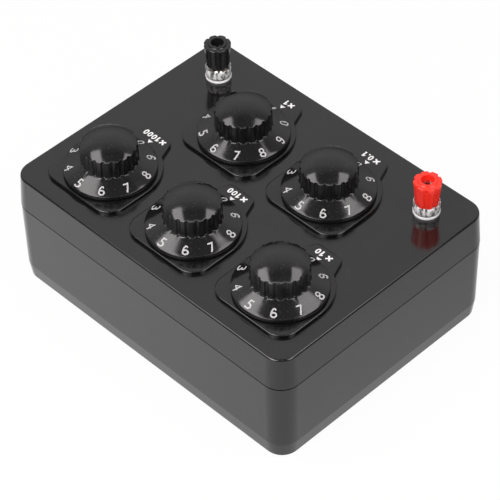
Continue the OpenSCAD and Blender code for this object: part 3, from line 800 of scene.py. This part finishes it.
def on_skirt(digit):
    """Places points on the skirt's cone at a figure's turn from the pointer, its top to the middle."""
    slope = CONE_RISE / (SKIRT_R - GRIP_R)
    length = math.hypot(1, slope)
    turn = math.radians(FIGURE_TURN * digit - 90)

    def place(x, y, up):
        r = FIGURE_RING_R - y / length
        z = RIM_T + (SKIRT_R - r) * slope
        a = turn + x / FIGURE_RING_R
        r += up * slope / length
        return r * math.cos(a), r * math.sin(a), z + up / length

    return place


def on_tab(x, y, up):
    """Places points on an index plate."""
    return x, y, PLATE_T + up


def figures_mesh():
    """The ten figures round a skirt."""
    return print_mesh("figures", [(figure(digit), on_skirt(digit)) for digit in range(10)], finest=0.5)


def cross(size, bar):
    """Outline of a multiplication sign in a square of that size."""
    h, b = size / 2, bar / math.sqrt(2)
    quarter = [(0, b), (h - b, h), (h, h - b)]
    out = []
    for k in range(4):
        c, s = round(math.cos(k * math.pi / 2)), round(math.sin(k * math.pi / 2))
        out += [(x * c + y * s, y * c - x * s) for x, y in quarter]
    return out[::-1]


def label_mesh(text, sign_x, first_x, line_y):
    """Multiplier and pointer on a plate's tab, which a user in front of the box reads upright."""
    shapes = [fit(polygon(cross(SIGN_SIZE, SIGN_BAR)), SIGN_SIZE, SIGN_SIZE, (sign_x, line_y))]
    x = first_x
    for c in text:
        if c == ".":
            shapes.append(fit(polygon(SQUARE), DOT_SIZE, DOT_SIZE, (x - DOT_BACK, line_y - DOT_DROP)))
            x += DOT_STEP
        else:
            shape = polygon(ONE) if c == "1" else filled(c, LABEL_BOLD)
            shapes.append(fit(shape, LABEL_WIDTHS[c], LABEL_H, (x, line_y)))
            x += LABEL_STEP
    foot = line_y + POINTER_UP
    tip = (POINTER_X, foot + POINTER_H)
    shapes.append(polygon([(POINTER_X - POINTER_W / 2, foot), tip, (POINTER_X + POINTER_W / 2, foot)]))
    return print_mesh("label", [(shape, on_tab) for shape in shapes], finest=9)


# Index plates

def plate_outline():
    """Points round an index plate about its dial's axis; its round lies a little toward the user."""
    reach = TAB_REACH - PLATE_FORWARD
    corner_y = PLATE_BACK + PLATE_FORWARD - PLATE_CORNER
    half = arc(PLATE_CORNER - PLATE_R, corner_y, PLATE_CORNER, 90, 180, 16)
    root = Vector((-TAB_ROOT / 2, -math.sqrt(PLATE_R ** 2 - TAB_ROOT ** 2 / 4)))
    end = Vector((-TAB_END / 2, -reach))
    side = (end - root).normalized()
    out = Vector((side.y, -side.x))
    # round, and fillet between it and the tab's side
    base = root + out * TAB_FILLET
    b = base.dot(side)
    t = -b + math.sqrt(b * b - base.dot(base) + (PLATE_R + TAB_FILLET) ** 2)
    mid = base + side * t
    half += arc(0, 0, PLATE_R, 180, 360 + bearing(mid), 40)
    half += arc(mid.x, mid.y, TAB_FILLET, bearing(-mid), bearing(-out), 6)[1:]
    # rounded corner at the tab's end
    inner = end - out * TAB_ROUND
    corner = inner + side * (TAB_ROUND - reach - inner.y) / side.y
    half += arc(corner.x, corner.y, TAB_ROUND, 360 + bearing(out), 270, 8)
    points = half + [(-x, y) for x, y in reversed(half)]
    return [(x, y - PLATE_FORWARD) for x, y in points]


def inset(points, d):
    """Moves a loop of points inward by d along its corners' bisectors."""
    out = []
    n = len(points)
    for k in range(n):
        p0, p1, p2 = (Vector(points[(k + i) % n]) for i in (-1, 0, 1))
        n0 = Vector((-(p1 - p0).y, (p1 - p0).x)).normalized()
        n1 = Vector((-(p2 - p1).y, (p2 - p1).x)).normalized()
        m = (n0 + n1).normalized()
        out.append(p1 + m * d / max(0.5, m.dot(n0)))
    return [(p.x, p.y) for p in out]


def plate_mesh():
    """Index plate with a rounded upper edge and a hole for the switch's neck."""
    points = plate_outline()
    loops = [(points, 0.0), (points, PLATE_T - PLATE_ROUND_H)]
    for x, y in arc(0, 0, 1, 0, 90, 7)[1:]:
        loops.append((inset(points, PLATE_ROUND_W * (1 - x)), PLATE_T - PLATE_ROUND_H * (1 - y)))
    bm = bmesh.new()

    def walls(low, high):
        n = len(low)
        for j in range(n):
            bm.faces.new((low[j], low[(j + 1) % n], high[(j + 1) % n], high[j]))

    rows = [[bm.verts.new((x * MM, y * MM, z * MM)) for x, y in loop] for loop, z in loops]
    for low, high in zip(rows, rows[1:]):
        walls(low, high)
    hole = [[bm.verts.new(Vector(p) * MM) for p in circle(NECK_R, z, NECK_POINTS)] for z in (0, PLATE_T)]
    walls(*hole)
    for pair in ((rows[0], hole[0]), (rows[-1], hole[1])):
        edges = []
        for loop in pair:
            edges += [bm.edges.get(ends) for ends in zip(loop, loop[1:] + loop[:1])]
        bmesh.ops.triangle_fill(bm, use_beauty=True, edges=edges)
    mesh = bpy.data.meshes.new("index_plate")
    bm.to_mesh(mesh)
    bm.free()
    return finish_mesh(mesh, sharp=30)


# Binding posts

def cap_mesh(start):
    """Tapered, lobed cap of a post about its own axis, with its lobes turned by that many degrees."""
    n = LOBES * LOBE_POINTS
    angles = full_turn(n)
    shift = math.radians(start + 180 / LOBES)
    lobe_z = CAP_TOP - RING_H

    def taper(z):
        return CAP_BOTTOM_R + (CAP_TOP_R - CAP_BOTTOM_R) * (z - CAP_Z) / (CAP_TOP - CAP_Z)

    def lobed(shape_z, less=0.0, z=None):
        out = []
        for a in angles:
            r = fluted(taper(shape_z), a - shift, LOBES, LOBE_R, LOBE_DEPTH) - less
            out.append((r * math.cos(a), r * math.sin(a), shape_z if z is None else z))
        return out

    # plug hole, and the ring round it with its sloping side
    profile = [(CAP_HOLE_R, STUD_ROOM_TOP)]
    profile += arc(CAP_HOLE_R + CAP_ROUND, CAP_TOP - CAP_ROUND, CAP_ROUND, 180, 90, 2)
    profile += [(RING_R - RING_ROUND, CAP_TOP), (RING_R - RING_ROUND * 0.1, CAP_TOP - RING_ROUND * 0.4)]
    profile += [(RING_R + RING_ROUND, lobe_z + RING_ROUND * 0.5), (RING_R + RING_ROUND * 2, lobe_z)]
    rings = [circle(r, z, n) for r, z in profile]
    # rounded upper edge of the lobes, their sides, and the rounded lower edge
    for x, y in arc(0, 0, 1, 90, 0, 5):
        rings.append(lobed(lobe_z, CAP_EDGE * (1 - x), lobe_z - CAP_EDGE * (1 - y)))
    top, bottom = lobe_z - CAP_EDGE, CAP_Z + CAP_ROUND
    for k in range(1, 8):
        rings.append(lobed(top + (bottom - top) * k / 7))
    for x, y in arc(0, 0, CAP_ROUND, 0, 90, 2)[1:]:
        rings.append(lobed(bottom - y, CAP_ROUND - x))
    # room for the insert and the stud
    room = ((INSERT_ROOM_R, CAP_Z), (INSERT_ROOM_R, INSERT_ROOM_TOP), (STUD_ROOM_R, INSERT_ROOM_TOP))
    rings += [circle(r, z, n) for r, z in (*room, (STUD_ROOM_R, STUD_ROOM_TOP))]
    return ring_mesh("cap", rings, looped=True)


def collar_mesh():
    """Clear collar of a post about its own axis, with rounded edges."""
    flange_r = FLANGE_R - FLANGE_ROUND
    profile = [(COLLAR_BORE_R, COLLAR_BOTTOM), (COLLAR_NECK_R, COLLAR_BOTTOM), (COLLAR_NECK_R, PANEL_Z)]
    profile += arc(flange_r, PANEL_Z + FLANGE_ROUND, FLANGE_ROUND, -90, 0, 2)
    profile += arc(flange_r, FLANGE_TOP - FLANGE_ROUND, FLANGE_ROUND, 0, 90, 2)
    profile += arc(GROOVE_R + GROOVE_ROUND, GROOVE_Z, GROOVE_ROUND, 217, 143, 2)
    profile += arc(SLEEVE_R - SLEEVE_ROUND, SLEEVE_Z, SLEEVE_ROUND, -68, 0, 1)
    profile += arc(SLEEVE_R - SLEEVE_LIP, SLEEVE_TOP - SLEEVE_LIP, SLEEVE_LIP, 0, 180, 4)
    profile += arc(SLEEVE_R - 2 * SLEEVE_LIP - STEP_ROUND, STEP_Z + STEP_ROUND, STEP_ROUND, 0, -90, 2)
    profile += arc(STEP_R + STEP_EDGE, STEP_Z - STEP_EDGE, STEP_EDGE, 90, 180, 1)
    profile += [(STEP_R, COLLAR_BORE_TOP), (COLLAR_BORE_R, COLLAR_BORE_TOP)]
    return ring_mesh("collar", [circle(r, z, COLLAR_POINTS) for r, z in profile], looped=True)


# Pieces

knob, figures, plate = knob_mesh(), figures_mesh(), plate_mesh()
for decade, (shown, *label) in DECADES.items():
    x, y = centre(f"{decade}_shaft")
    on_panel = (x, y, PANEL_Z)
    on_shaft = (x, y, box_mm(f"{decade}_knob")[0].z)
    turn = -FIGURE_TURN * shown
    dial = f"{decade}_dial"
    add_piece(f"{decade}_index_plate_fine", plate, "plate_plastic", "case", on_panel,
              replaces=[f"{decade}_index_plate"])
    add_piece(f"{decade}_label", label_mesh(*label), "printed_white", "case", on_panel)
    add_piece(f"{decade}_knob_fine", knob, "knob_plastic", dial, on_shaft, turn,
              replaces=[f"{decade}_knob"])
    add_piece(f"{decade}_figures", figures, "printed_grey", dial, on_shaft, turn)
for post, start in POSTS.items():
    x, y = centre(f"{post}_stud")
    rise = box_mm(f"{post}_cap")[0].z - CAP_Z
    plastic = f"{post}_plastic"
    add_piece(f"{post}_cap_fine", cap_mesh(start), plastic, f"{post}_cap", (x, y, rise),
              replaces=[f"{post}_cap"])
    add_piece(f"{post}_collar_fine", collar_mesh(), "clear_plastic", "case", (x, y, 0),
              replaces=[f"{post}_collar"])


# Floor, light and camera: lengths in metres, angles in degrees, lamps in watts, ranges as in materials

AWAY = Vector((0.723, -0.691, 0))
SIDE = AWAY.cross(Vector((0, 0, 1)))
FLOOR_HALF = 4.0
FLOOR_WHITE = 0.95
SHINE_ACROSS = (1.25, 0.68, -0.2, 0.2)
SHINE_BEHIND = (1.0, 0.2, 0.05, 0.25)
BACKDROP = ((0.14, grey(0.18)), (0.58, grey(0.8)))
ROOM_UPWARD = (0.25, 1.0, 0.0, 0.5)
BOX_MIDDLE = Vector((0, 0, 0.06))
AZIMUTH, ELEVATION, ROLL = 226.264, 44.945, -1.591
TARGET = Vector((-0.023608, 0.022054, 0.053827))
DISTANCE = 0.941758
FOCAL_PX = 2458.157
FRAME_PX = 500
SENSOR = 36
LAMP_COLOR = (1.0, 0.95, 0.96)

# Each lamp: how far it stands to the side, away from the camera and up, its size, and its power
LAMPS = {
    "softbox_left": (-0.236, -0.173, 0.448, (0.175, 0.719), 2.2),
    "softbox_right": (0.232, -0.044, 0.433, (0.144, 0.276), 0.56),
    "softbox_front_left": (-0.8, -0.75, 0.95, (0.5, 0.5), 5.5),
    "softbox_front_right": (0.8, -0.75, 0.95, (0.5, 0.5), 5.5),
    "strip_front": (0, -0.43, 1.2, (0.9, 0.06), 0.9),
}


def floor():
    """Pale floor, white to the camera; what the box reflects of it falls off to the right and behind."""
    s = FLOOR_HALF
    mesh = bpy.data.meshes.new("floor")
    mesh.from_pydata([(-s, -s, 0), (s, -s, 0), (s, s, 0), (-s, s, 0)], [], [(0, 1, 2, 3)])
    obj = bpy.data.objects.new("floor", mesh)
    link(obj)
    mat = bpy.data.materials.new("floor")
    mat.use_nodes = True
    tree = mat.node_tree
    tree.nodes.clear()
    diffuse = tree.nodes.new("ShaderNodeBsdfDiffuse")
    diffuse.inputs["Color"].default_value = (0.8, 0.8, 0.8, 1)
    glow = tree.nodes.new("ShaderNodeEmission")
    glow.inputs["Strength"].default_value = 1.0
    path = tree.nodes.new("ShaderNodeLightPath").outputs
    seen = combined(tree, "ShaderNodeMath", "MAXIMUM", path["Is Camera Ray"], path["Is Transmission Ray"])
    lit = mixed(tree, spread(tree, seen, 0.0, FLOOR_WHITE, 0.0, 1.0), diffuse, glow)
    place = tree.nodes.new("ShaderNodeNewGeometry").outputs["Position"]
    across = spread(tree, along(tree, place, SIDE), *SHINE_ACROSS)
    behind = spread(tree, along(tree, place, AWAY), *SHINE_BEHIND)
    shine = tree.nodes.new("ShaderNodeEmission")
    tree.links.new(product(tree, across, behind), shine.inputs["Strength"])
    out = tree.nodes.new("ShaderNodeOutputMaterial")
    tree.links.new(mixed(tree, path["Is Glossy Ray"], lit, shine).outputs[0], out.inputs["Surface"])
    mesh.materials.append(mat)


def world():
    """White backdrop behind the box in a dim room; the camera sees plain white."""
    studio = bpy.data.worlds.new("studio")
    bpy.context.scene.world = studio
    studio.use_nodes = True
    tree = studio.node_tree
    tree.nodes.clear()
    direction = own(tree, "Generated")
    room = tree.nodes.new("ShaderNodeBackground")
    backdrop = shades(tree, along(tree, direction, AWAY), BACKDROP)
    tree.links.new(backdrop, room.inputs["Color"])
    tree.links.new(spread(tree, upward(tree, direction), *ROOM_UPWARD), room.inputs["Strength"])
    white = tree.nodes.new("ShaderNodeBackground")
    white.inputs["Color"].default_value = (1, 1, 1, 1)
    seen = tree.nodes.new("ShaderNodeLightPath").outputs["Is Camera Ray"]
    out = tree.nodes.new("ShaderNodeOutputWorld")
    tree.links.new(mixed(tree, seen, room, white).outputs[0], out.inputs["Surface"])


def facing(place, right, up, back):
    """Matrix of a camera or lamp at a place that looks along minus back."""
    return Matrix.Translation(place) @ Matrix((right, up, back)).transposed().to_4x4()


def camera():
    """Camera at the photograph's viewing angle."""
    az, el, roll = (math.radians(v) for v in (AZIMUTH, ELEVATION, ROLL))
    back = Vector((math.sin(az) * math.cos(el), -math.cos(az) * math.cos(el), math.sin(el)))
    level = (-back).cross(Vector((0, 0, 1))).normalized()
    upright = level.cross(-back)
    right = level * math.cos(roll) + upright * math.sin(roll)
    up = upright * math.cos(roll) - level * math.sin(roll)
    data = bpy.data.cameras.new("camera")
    data.sensor_width = SENSOR
    data.lens = FOCAL_PX / FRAME_PX * SENSOR
    data.clip_start, data.clip_end = 0.01, 50
    cam = bpy.data.objects.new("camera", data)
    link(cam)
    cam.matrix_world = facing(TARGET + back * DISTANCE, right, up, back)
    bpy.context.scene.camera = cam


def softbox(name, place, size, power):
    """Rectangular lamp that faces the box; its length runs along the viewing direction."""
    data = bpy.data.lights.new(name, "AREA")
    data.shape = "RECTANGLE"
    data.size, data.size_y = size
    data.energy = power
    data.color = LAMP_COLOR
    lamp = bpy.data.objects.new(name, data)
    lamp.visible_camera = False
    link(lamp)
    back = (place - BOX_MIDDLE).normalized()
    across = AWAY.cross(back).normalized()
    lamp.matrix_world = facing(place, across, back.cross(across), back)


floor()
world()
camera()
for name, (side, away, up, size, power) in LAMPS.items():
    softbox(name, SIDE * side + AWAY * away + Vector((0, 0, up)), size, power)
bpy.context.scene.view_settings.view_transform = "Standard"
